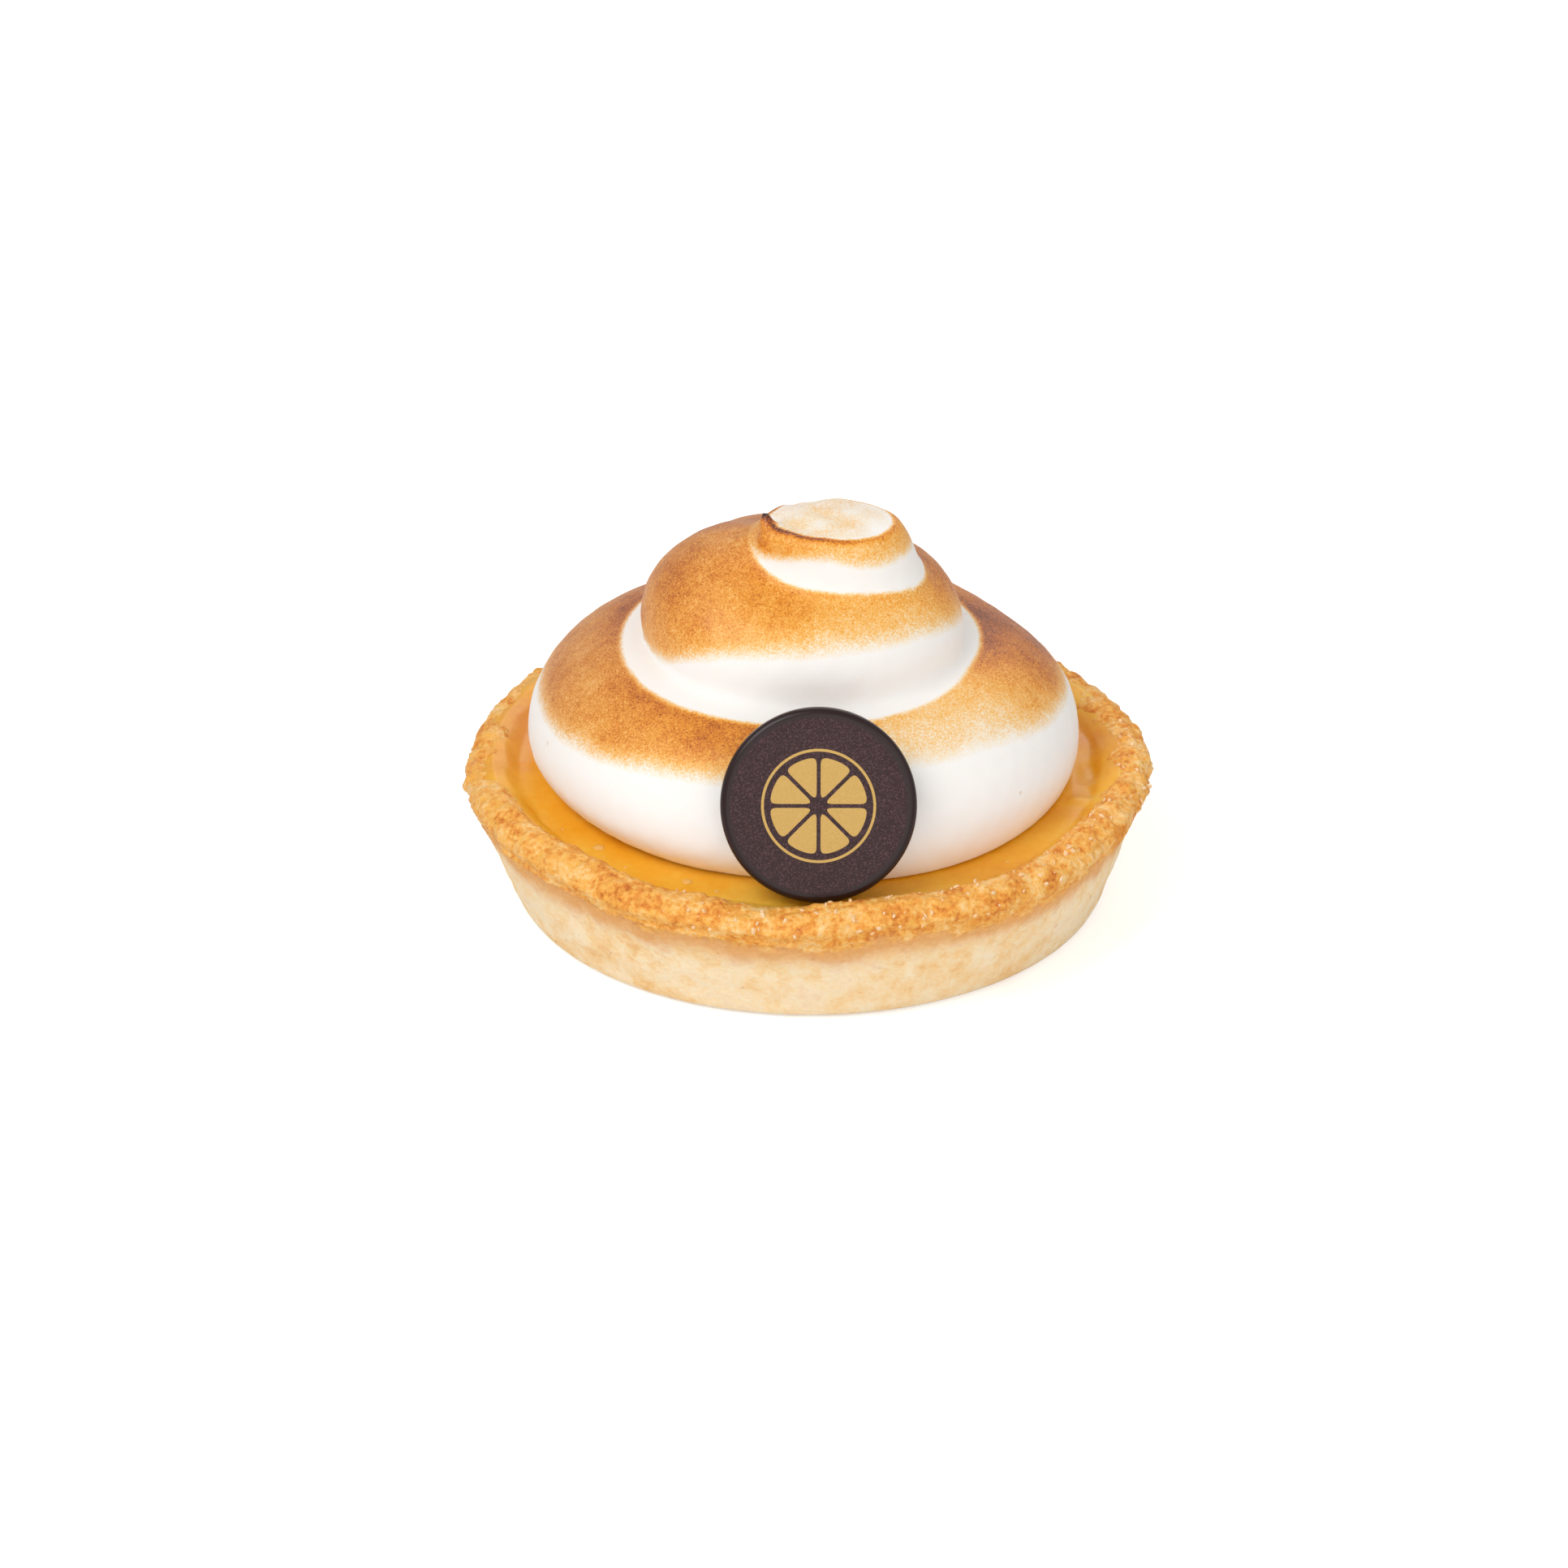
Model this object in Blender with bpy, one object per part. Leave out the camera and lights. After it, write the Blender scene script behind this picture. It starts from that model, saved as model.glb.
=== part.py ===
"""An individual lemon meringue pie: a shortcrust case filled with lemon curd, a swirl of piped
meringue on the curd, and a dark chocolate disc leaning against the front of the swirl.

Units are metres and +Z is up. The origin is the middle of the flat underside, on the surface that
the pie stands on. The chocolate disc is at the front, which faces -Y.
"""

import math

import bmesh
import bpy
import numpy as np
from mathutils import Matrix, Vector

# The pastry case
RIM_RADIUS = 0.0450  # outermost reach of the rim
BASE_RADIUS = 0.0382  # flat underside
CASE_HEIGHT = 0.0180  # mean height of the rim's crest
RIM_BAND = 0.0036  # depth of the thick rim, from its crest's shoulder to its lower edge
BASE_SHIFT = 0.0004  # the hand-lined base sits this far to the right of the rim
LEDGE = 0.0006  # how far the rim stands proud of the wall below it
RIM_WIDTH = 0.0062  # from the curd to the rim's outermost reach
FLOOR = 0.0042
CURD_LEVEL = 0.0158
GAP = 0.0003  # clearance between pieces that touch

# The hand-pressed rim wanders by these waves: how many round the rim, phase, height
RIM_LIFT = ((2, 0.6, 0.00022), (5, 1.9, 0.00028), (9, 0.4, 0.00022), (14, 2.7, 0.00015))
RIM_REACH = ((4, 1.1, 0.00022), (7, 2.3, 0.00020), (12, 0.9, 0.00014))

# The piped swirl: one rope of meringue, wound anticlockwise as seen from above
SWIRL_AXIS = (-0.0005, 0.0014)  # where the swirl's axis meets the curd
START_ANGLE = math.radians(45)  # where the rope starts, at the back on the right
ROPE_ENDS = (0.07, 0.06)  # the rope's rounded ends, in turns
# The rope along its length, in millimetres: turn, centre radius, centre height, half width,
# half height above and below the centre, and how much the crease under it is filled
ROPE = (
    (0.00, 17.2, 20.4, 18.0, 12.4, 9.2, 1.6),
    (0.32, 17.6, 21.2, 18.7, 14.0, 9.2, 1.6),
    (0.58, 17.6, 21.0, 18.4, 13.6, 9.0, 2.0),
    (0.74, 17.8, 20.8, 18.7, 13.2, 14.0, 2.0),
    (0.95, 17.6, 20.8, 18.5, 13.2, 12.0, 3.0),
    (1.22, 7.4, 36.4, 13.6, 10.0, 8.0, 3.6),
    (1.40, 6.4, 37.2, 14.6, 11.8, 8.0, 2.8),
    (1.64, 7.2, 35.8, 14.2, 9.8, 8.0, 2.4),
    (2.00, 7.2, 36.4, 13.6, 9.8, 8.0, 2.4),
    (2.42, 4.4, 40.6, 12.0, 8.4, 8.0, 2.0),
)
# The last round of the rope closes into a dome with a nearly flat top, in metres
DOME = (0.0029, -0.0012, 0.0445)
DOME_HALF_WIDTH = 0.0098
DOME_RISE = 0.0105
DOME_CREASE = 0.0022
FLAT_TOP = 0.0524
TOP_BULGE = 10.0  # the flat top falls by this much times the square of the way out
TOP_ROUNDING = 0.0007
# The tail left by the lifted nozzle, in millimetres: X, Y, Z and radius
TAIL = (
    (1.8, -7.8, 50.7, 0.90),
    (-2.0, -6.7, 50.8, 1.20),
    (-4.7, -4.2, 50.8, 1.60),
    (-5.3, -3.3, 52.6, 0.80),
    (-5.5, -2.9, 54.1, 0.20),
)
TAIL_CREASE = 0.0016
# Every point of the swirl is seen from an eye that rises under the tail as it looks further up:
# share of the rings, the eye's height in millimetres, and the angle it looks up by in degrees
EYE_MIDDLE = (-0.0055, -0.0029)
EYE_STAGES = ((0.00, 20.0, -7.0), (0.42, 20.0, 38.0), (0.70, 40.0, 46.0), (1.00, 42.0, 90.0))

# The chocolate disc
DISC_RADIUS = 0.0123
DISC_THICKNESS = 0.0024
DISC_EDGE = 0.0007
DISC_LEAN = math.radians(21)
DISC_ACROSS = 0.0015  # to the right of the middle

SEGMENTS = 72
SWIRL_RINGS = 40


def clear_scene():
    for scene_object in list(bpy.data.objects):
        bpy.data.objects.remove(scene_object, do_unlink=True)


def finish_material(name, colour, roughness):
    material = bpy.data.materials.new(name)
    material.use_nodes = True
    shader = material.node_tree.nodes["Principled BSDF"]
    shader.inputs["Base Color"].default_value = (*colour, 1.0)
    shader.inputs["Roughness"].default_value = roughness
    shader.inputs["Metallic"].default_value = 0.0
    return material


def add_piece(name, mesh, material):
    piece = bpy.data.objects.new(name, mesh)
    bpy.context.scene.collection.objects.link(piece)
    mesh.materials.append(material)
    mesh.shade_smooth()
    mesh.set_sharp_from_angle(angle=math.radians(50))
    return piece


def loft(name, rings, bottom_centre, top_centre):
    """A closed mesh through rings of points, each closed with a fan at its end."""
    shape = bmesh.new()
    loops = [[shape.verts.new(point) for point in ring] for ring in rings]
    for lower, upper in zip(loops, loops[1:]):
        for i in range(len(lower)):
            j = (i + 1) % len(lower)
            shape.faces.new((lower[i], lower[j], upper[j], upper[i]))
    bottom = shape.verts.new(bottom_centre)
    top = shape.verts.new(top_centre)
    for i in range(len(loops[0])):
        j = (i + 1) % len(loops[0])
        shape.faces.new((loops[0][j], loops[0][i], bottom))
        shape.faces.new((loops[-1][i], loops[-1][j], top))
    bmesh.ops.recalc_face_normals(shape, faces=shape.faces)
    mesh = bpy.data.meshes.new(name)
    shape.to_mesh(mesh)
    shape.free()
    return mesh


def angles():
    return [2 * math.pi * i / SEGMENTS for i in range(SEGMENTS)]


def wander(waves, angle):
    return sum(height * math.sin(count * angle + phase) for count, phase, height in waves)


def leaning_middle(height):
    """The case leans a little, so its middle moves across with the height."""
    return BASE_SHIFT * (1 - height / CASE_HEIGHT)


def case_profile():
    """Radius, height and share of the rim's wandering, from the underside round to the floor."""
    inner = RIM_RADIUS - RIM_WIDTH
    band_top = CASE_HEIGHT - 0.0024
    band_low = band_top - RIM_BAND / 2
    wall_top = RIM_RADIUS - 0.0011
    slope = (wall_top - BASE_RADIUS - 0.0012) / (band_low - 0.0014)
    return (
        (BASE_RADIUS, 0.0, 0.0),
        (BASE_RADIUS + 0.0009, 0.0004, 0.0),
        (BASE_RADIUS + 0.0014, 0.0014, 0.0),
        (BASE_RADIUS + 0.0014 + slope * 0.0050, 0.0064, 0.2),
        (wall_top - LEDGE, band_low - 0.0004, 0.6),
        (wall_top + LEDGE / 2, band_low, 0.8),
        (RIM_RADIUS, band_top, 1.0),
        (RIM_RADIUS - 0.0006, CASE_HEIGHT - 0.0009, 1.0),
        (RIM_RADIUS - 0.0020, CASE_HEIGHT - 0.0001, 1.0),
        (RIM_RADIUS - 0.0036, CASE_HEIGHT, 1.0),
        (inner + 0.0010, CASE_HEIGHT - 0.0010, 0.8),
        (inner, CURD_LEVEL, 0.3),
        (inner - 0.0014, CURD_LEVEL - 0.0030, 0.0),
        (BASE_RADIUS - 0.0040, FLOOR + 0.0012, 0.0),
        (BASE_RADIUS - 0.0056, FLOOR, 0.0),
    )


def make_case(material):
    rings = []
    for radius, height, share in case_profile():
        ring = []
        for angle in angles():
            reach = radius + share * wander(RIM_REACH, angle)
            lift = height + share * wander(RIM_LIFT, angle)
            middle = leaning_middle(height)
            ring.append((middle + reach * math.cos(angle), reach * math.sin(angle), lift))
        rings.append(ring)
    mesh = loft("pastry_case", rings, (0, 0, 0), (0, 0, FLOOR))
    return add_piece("pastry_case", mesh, material)


def make_curd(material):
    inner = RIM_RADIUS - RIM_WIDTH
    profile = (
        (BASE_RADIUS - 0.0060, FLOOR + GAP),
        (BASE_RADIUS - 0.0044, FLOOR + 0.0016),
        (inner - 0.0014 - GAP, CURD_LEVEL - 0.0030),
        (inner - 0.0006, CURD_LEVEL - 0.0003),
        (inner - 0.0012, CURD_LEVEL),
    )
    rings = []
    for radius, height in profile:
        middle = leaning_middle(height)
        rings.append(
            [
                (middle + radius * math.cos(angle), radius * math.sin(angle), height)
                for angle in angles()
            ]
        )
    mesh = loft("lemon_curd", rings, (0, 0, FLOOR + GAP), (0, 0, CURD_LEVEL))
    return add_piece("lemon_curd", mesh, material)


def ease(value, low, high):
    share = np.clip((value - low) / (high - low), 0.0, 1.0)
    return share * share * (3.0 - 2.0 * share)


def soft_union(first, second, filling):
    overlap = np.maximum(filling - np.abs(first - second), 0.0)
    return np.minimum(first, second) - overlap * overlap / (4.0 * filling)


def rope_section(turn):
    """The rope's sizes after that many turns, in metres, in the order of ROPE's columns."""
    sizes = list(ROPE[0][1:])
    for before, after in zip(ROPE, ROPE[1:]):
        share = ease(turn, before[0], after[0])
        for i in range(len(sizes)):
            sizes[i] = sizes[i] + (after[i + 1] - before[i + 1]) * share
    return [size / 1000 for size in sizes]


def outside_oval(across, up, wide, tall):
    """Distance outside an oval, negative inside it."""
    unit = np.sqrt((across / wide) ** 2 + (up / tall) ** 2) + 1e-9
    steep = np.sqrt((across / wide**2) ** 2 + (up / tall**2) ** 2) + 1e-9
    return unit * (unit - 1.0) / steep


def outside_rope(turn, radius, height):
    """Distance outside the rope after that many turns, and how much its crease is filled."""
    centre, level, width, above, below, filling = rope_section(turn)
    started = np.clip(turn / ROPE_ENDS[0] + 1.0, 0.0, 1.0)
    ended = np.clip((ROPE[-1][0] - turn) / ROPE_ENDS[1], 0.0, 1.0)
    size = np.sqrt(np.maximum(1.0 - (1.0 - started * ended) ** 2, 1e-4))
    up = height - level
    tall = np.where(up > 0, above, below)
    return outside_oval(radius - centre, up, width * size, tall * size), filling


def outside_dome(points):
    """Distance outside the dome that closes the swirl, with its nearly flat top."""
    out = np.hypot(points[..., 0] - DOME[0], points[..., 1] - DOME[1])
    return outside_oval(out, points[..., 2] - DOME[2], DOME_HALF_WIDTH, DOME_RISE)


def above_top(points):
    """Height above the nearly flat top."""
    out = np.hypot(points[..., 0] - DOME[0], points[..., 1] - DOME[1])
    return points[..., 2] - FLAT_TOP + TOP_BULGE * out * out


def outside_tail(points):
    found = None
    for first, second in zip(TAIL, TAIL[1:]):
        start = np.array(first[:3]) / 1000
        along = np.array(second[:3]) / 1000 - start
        share = np.clip((points - start) @ along / (along @ along), 0.0, 1.0)
        nearest = start + share[..., None] * along
        thickness = (first[3] + (second[3] - first[3]) * share) / 1000
        stretch = np.linalg.norm(points - nearest, axis=-1) - thickness
        found = stretch if found is None else soft_union(found, stretch, TAIL_CREASE / 2)
    return found


def outside_swirl(points):
    """Distance outside the piped meringue, negative inside it."""
    across = points[..., 0] - SWIRL_AXIS[0]
    back = points[..., 1] - SWIRL_AXIS[1]
    radius = np.hypot(across, back)
    turned = ((np.arctan2(back, across) - START_ANGLE) / (2 * math.pi)) % 1.0
    found = outside_rope(turned - 1.0, radius, points[..., 2])[0]
    for laps in range(math.ceil(ROPE[-1][0])):
        section, filling = outside_rope(turned + laps, radius, points[..., 2])
        found = soft_union(found, section, filling)
    found = soft_union(found, outside_dome(points), DOME_CREASE)
    found = -soft_union(-found, -above_top(points), TOP_ROUNDING)
    return soft_union(found, outside_tail(points), TAIL_CREASE)


def swirl_reach(eye, directions):
    """How far the swirl's surface is from the eye in each direction."""
    near = np.zeros(len(directions))
    far = np.full(len(directions), RIM_RADIUS + CASE_HEIGHT)
    for _ in range(40):
        middle = (near + far) / 2
        inside = outside_swirl(eye + middle[:, None] * directions) < 0
        near = np.where(inside, middle, near)
        far = np.where(inside, far, middle)
    return (near + far) / 2


def look(share, stage):
    shares = [row[0] for row in EYE_STAGES]
    return float(np.interp(share, shares, [row[stage] for row in EYE_STAGES]))


def swirl_rings():
    """Rings of points from the swirl's foot up to its tail."""
    level = CURD_LEVEL + GAP
    turn = np.array(angles())
    outward = np.stack([np.cos(turn), np.sin(turn), np.zeros(SEGMENTS)], axis=1)
    foot = np.array((*EYE_MIDDLE, level))
    rings = [foot + swirl_reach(foot, outward)[:, None] * outward]
    for i in range(1, SWIRL_RINGS):
        share = i / SWIRL_RINGS
        eye = np.array((*EYE_MIDDLE, look(share, 1) / 1000))
        elevation = math.radians(look(share, 2))
        directions = outward * math.cos(elevation)
        directions[:, 2] = math.sin(elevation)
        rings.append(eye + swirl_reach(eye, directions)[:, None] * directions)
    return rings


def make_swirl(material):
    eye = np.array((*EYE_MIDDLE, EYE_STAGES[-1][1] / 1000))
    top = float(swirl_reach(eye, np.array([[0.0, 0.0, 1.0]]))[0]) + eye[2]
    foot = (*EYE_MIDDLE, CURD_LEVEL + GAP)
    mesh = loft("meringue", swirl_rings(), foot, (*EYE_MIDDLE, top))
    return add_piece("meringue", mesh, material)


def make_disc(material, swirl):
    """A round disc with softened edges, leaning back until it meets the swirl."""
    half = DISC_THICKNESS / 2
    shape = bmesh.new()
    bmesh.ops.create_cone(
        shape,
        cap_ends=True,
        segments=48,
        radius1=DISC_RADIUS,
        radius2=DISC_RADIUS,
        depth=DISC_THICKNESS,
    )
    rims = [edge for edge in shape.edges if abs(edge.verts[0].co.z - edge.verts[1].co.z) < half]
    bmesh.ops.bevel(shape, geom=rims, offset=DISC_EDGE, segments=3, profile=0.5, affect="EDGES")
    bmesh.ops.recalc_face_normals(shape, faces=shape.faces)
    mesh = bpy.data.meshes.new("chocolate_disc")
    shape.to_mesh(mesh)
    shape.free()
    disc = add_piece("chocolate_disc", mesh, material)
    facing = Vector((0.0, -math.cos(DISC_LEAN), math.sin(DISC_LEAN)))
    uphill = Vector((0.0, math.sin(DISC_LEAN), math.cos(DISC_LEAN)))
    front = [v.co for v in swirl.data.vertices if abs(v.co.x - DISC_ACROSS) < DISC_RADIUS]
    touching = max(point.dot(facing) for point in front)
    out = touching + GAP + half
    lowest = CURD_LEVEL + GAP + DISC_RADIUS * math.cos(DISC_LEAN) + half * math.sin(DISC_LEAN)
    climb = (lowest - out * facing.z) / uphill.z
    disc.location = facing * out + uphill * climb + Vector((DISC_ACROSS, 0.0, 0.0))
    disc.rotation_euler = Matrix((Vector((1, 0, 0)), uphill, facing)).transposed().to_euler()
    return disc


def main():
    clear_scene()
    pastry = finish_material("baked_pastry", (0.66, 0.36, 0.13), 0.55)
    curd = finish_material("lemon_curd", (0.83, 0.42, 0.05), 0.25)
    meringue = finish_material("torched_meringue", (0.90, 0.82, 0.73), 0.6)
    chocolate = finish_material("dark_chocolate", (0.045, 0.020, 0.018), 0.4)
    make_case(pastry)
    make_curd(curd)
    swirl = make_swirl(meringue)
    make_disc(chocolate, swirl)


main()
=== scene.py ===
"""The looks of an individual lemon meringue pie.

A crumbly shortcrust case, glossy lemon curd with a few bubbles, a torched swirl of piped meringue,
and a satin chocolate disc with a gold citrus slice. Units are metres, +Z is up, -Y is the front.
"""

import math

import bmesh
import bpy
import numpy as np
from mathutils import Matrix, Vector


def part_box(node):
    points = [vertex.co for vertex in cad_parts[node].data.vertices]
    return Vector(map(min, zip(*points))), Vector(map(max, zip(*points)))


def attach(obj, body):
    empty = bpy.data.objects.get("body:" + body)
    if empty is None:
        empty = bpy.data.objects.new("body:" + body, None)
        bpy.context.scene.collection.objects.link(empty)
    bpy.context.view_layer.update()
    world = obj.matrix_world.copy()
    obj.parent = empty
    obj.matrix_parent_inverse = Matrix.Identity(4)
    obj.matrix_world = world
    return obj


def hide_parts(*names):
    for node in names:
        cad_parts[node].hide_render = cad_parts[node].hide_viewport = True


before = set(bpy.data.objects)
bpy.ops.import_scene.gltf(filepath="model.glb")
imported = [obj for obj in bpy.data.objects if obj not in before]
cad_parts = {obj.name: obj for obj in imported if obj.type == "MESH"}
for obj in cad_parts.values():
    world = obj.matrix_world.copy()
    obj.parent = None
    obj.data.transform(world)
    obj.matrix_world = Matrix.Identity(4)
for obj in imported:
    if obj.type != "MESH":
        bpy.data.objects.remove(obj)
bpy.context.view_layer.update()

MM = 0.001

# ---------------------------------------------------------------- sizes

# The pastry case
RIM_RADIUS = 0.0450
BASE_RADIUS = 0.0382
CASE_HEIGHT = 0.0180
RIM_BAND = 0.0036
BASE_SHIFT = 0.0004
LEDGE = 0.0006
RIM_WIDTH = 0.0062
FLOOR = 0.0042
CURD_LEVEL = 0.0158
GAP = 0.0003
# The pressed rim's waves: how many round the rim, phase, height
RIM_LIFT = ((2, 0.6, 0.00022), (5, 1.9, 0.00028), (9, 0.4, 0.00022), (14, 2.7, 0.00015))
RIM_REACH = ((4, 1.1, 0.00022), (7, 2.3, 0.00020), (12, 0.9, 0.00014))

# The piped swirl, one rope wound anticlockwise
SWIRL_AXIS = (-0.0005, 0.0014)
START_ANGLE = math.radians(45)
ROPE_ENDS = (0.07, 0.06)
# In millimetres: turn, centre radius, centre height, half width, half height above and below
# the centre, and how much the crease under it is filled
ROPE = (
    (0.00, 17.2, 20.4, 18.0, 12.4, 9.2, 0.8),
    (0.32, 17.6, 21.2, 18.7, 14.0, 9.2, 0.8),
    (0.58, 17.6, 21.0, 18.4, 13.6, 9.0, 1.4),
    (0.74, 17.8, 20.8, 18.7, 13.2, 14.0, 1.4),
    (0.95, 17.6, 20.8, 18.5, 13.2, 12.0, 1.4),
    (1.22, 7.4, 36.4, 13.6, 10.0, 8.0, 1.0),
    (1.40, 6.4, 37.2, 14.6, 11.8, 8.0, 0.8),
    (1.64, 7.2, 35.8, 14.2, 9.8, 8.0, 2.8),
    (2.00, 7.2, 36.4, 13.6, 9.8, 8.0, 1.6),
    (2.42, 4.4, 40.6, 12.0, 8.4, 8.0, 2.0),
)
DOME = (0.0029, -0.0012, 0.0445)
DOME_HALF_WIDTH = 0.0110
DOME_DEPTH = 0.78  # front to back, next to its width
DOME_SLIDE = 0.10  # how far it leans to the right, for each unit down
DOME_RISE = 0.0120
DOME_CREASE = 0.0030
FLAT_TOP = 0.0524
TOP_BULGE = 10.0
TOP_ROUNDING = 0.0007
TAIL = (
    (1.8, -7.8, 50.7, 0.90),
    (-2.0, -6.7, 50.8, 1.20),
    (-4.7, -4.2, 50.8, 1.60),
    (-5.3, -3.3, 52.6, 0.80),
    (-5.5, -2.9, 54.1, 0.20),
)
TAIL_CREASE = 0.0016
# A core fills the middle, where the laps meet
CORE_RADIUS = 0.0030
CORE_TOP = 0.0440
SWIRL_MESH = 0.000405  # spacing of the swirl's mesh

# The chocolate disc
DISC_THICKNESS = 0.0024
DISC_EDGE = 0.0009
DISC_BORDER = 0.0008
DISC_LEAN = math.radians(21)

# Camera
CAMERA_DISTANCE = 0.650
CAMERA_ELEVATION = math.radians(26.95)
CAMERA_LENS = 113.7


# ---------------------------------------------------------------- node helpers


class Bench:
    """Lays nodes in one tree, each input given as a value or as another node's output."""

    def __init__(self, tree, prefix):
        self.tree = tree
        self.prefix = prefix

    def lay(self, kind, plugs=None, **settings):
        node = self.tree.nodes.new(self.prefix + kind)
        for name, value in settings.items():
            setattr(node, name, value)
        for name, value in (plugs or {}).items():
            self.plug(node.inputs[name], value)
        return node

    def plug(self, socket, value):
        if isinstance(value, bpy.types.NodeSocket):
            self.tree.links.new(value, socket)
        elif value is not None:
            socket.default_value = value

    def maths(self, operation, *values, clamp=False):
        node = self.tree.nodes.new("ShaderNodeMath")
        node.operation = operation
        node.use_clamp = clamp
        for socket, value in zip(node.inputs, values):
            self.plug(socket, value)
        return node.outputs[0]

    def stretched(self, arrow, length):
        node = self.tree.nodes.new("ShaderNodeVectorMath")
        node.operation = "SCALE"
        self.plug(node.inputs[0], arrow)
        self.plug(node.inputs["Scale"], length)
        return node.outputs[0]

    def total(self, *shares):
        """Adds up values, each times its own weight; None stands for 1."""
        found = 0.0
        for value, weight in shares:
            found = self.maths("MULTIPLY_ADD", 1.0 if value is None else value, weight, found)
        return found

    def rise(self, value, low, high, start=0.0, end=1.0):
        """Eases from start to end as value goes from low to high."""
        node = self.tree.nodes.new("ShaderNodeMapRange")
        node.interpolation_type = "SMOOTHSTEP"
        for name, part in (
            ("Value", value),
            ("From Min", low),
            ("From Max", high),
            ("To Min", start),
            ("To Max", end),
        ):
            self.plug(node.inputs[name], part)
        return node.outputs["Result"]

    def grain(self, place, scale, detail=3.0, roughness=0.55, seed=0.0):
        """Soft noise between 0 and 1."""
        node = self.tree.nodes.new("ShaderNodeTexNoise")
        node.noise_dimensions = "4D"
        self.plug(node.inputs["Vector"], place)
        node.inputs["W"].default_value = seed
        node.inputs["Scale"].default_value = scale
        node.inputs["Detail"].default_value = detail
        node.inputs["Roughness"].default_value = roughness
        return node.outputs[0]

    def cells(self, place, scale):
        node = self.tree.nodes.new("ShaderNodeTexVoronoi")
        self.plug(node.inputs["Vector"], place)
        node.inputs["Scale"].default_value = scale
        return node

    def length(self, first, second):
        """The square root of the sum of the two squares."""
        squares = [self.maths("POWER", side, 2.0) for side in (first, second)]
        return self.maths("SQRT", self.maths("ADD", *squares))

    def blend(self, share, first, second):
        node = self.tree.nodes.new("ShaderNodeMix")
        node.data_type = "RGBA"
        self.plug(node.inputs[0], share)
        self.plug(node.inputs[6], first)
        self.plug(node.inputs[7], second)
        return node.outputs[2]

    def ramp(self, share, stops):
        node = self.tree.nodes.new("ShaderNodeValToRGB")
        self.plug(node.inputs[0], share)
        steps = node.color_ramp.elements
        while len(steps) < len(stops):
            steps.new(1.0)
        for step, (place, colour) in zip(steps, stops):
            step.position = place
            step.color = colour
        return node.outputs[0]


def tint(red, green, blue):
    """A colour as a screen shows it, 0 to 255, turned to the linear values that shaders use."""
    linear = []
    for level in (red, green, blue):
        share = level / 255
        linear.append(share / 12.92 if share <= 0.04045 else ((share + 0.055) / 1.055) ** 2.4)
    return (*linear, 1.0)


def new_finish(name):
    """A material with its own bench, its shader and the object's own coordinates."""
    material = bpy.data.materials.new(name)
    material.use_nodes = True
    bench = Bench(material.node_tree, "ShaderNode")
    shader = material.node_tree.nodes["Principled BSDF"]
    place = bench.lay("TexCoord").outputs["Object"]
    return material, bench, shader, place


def relief(bench, shader, height, distance, strength=1.0):
    plugs = {"Height": height, "Distance": distance, "Strength": strength}
    bump = bench.lay("Bump", plugs)
    bench.plug(shader.inputs["Normal"], bump.outputs["Normal"])


def soft_inside(shader, weight, depth, colours):
    shader.inputs["Subsurface Weight"].default_value = weight
    shader.inputs["Subsurface Scale"].default_value = depth
    shader.inputs["Subsurface Radius"].default_value = colours


# ---------------------------------------------------------------- finishes


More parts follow.
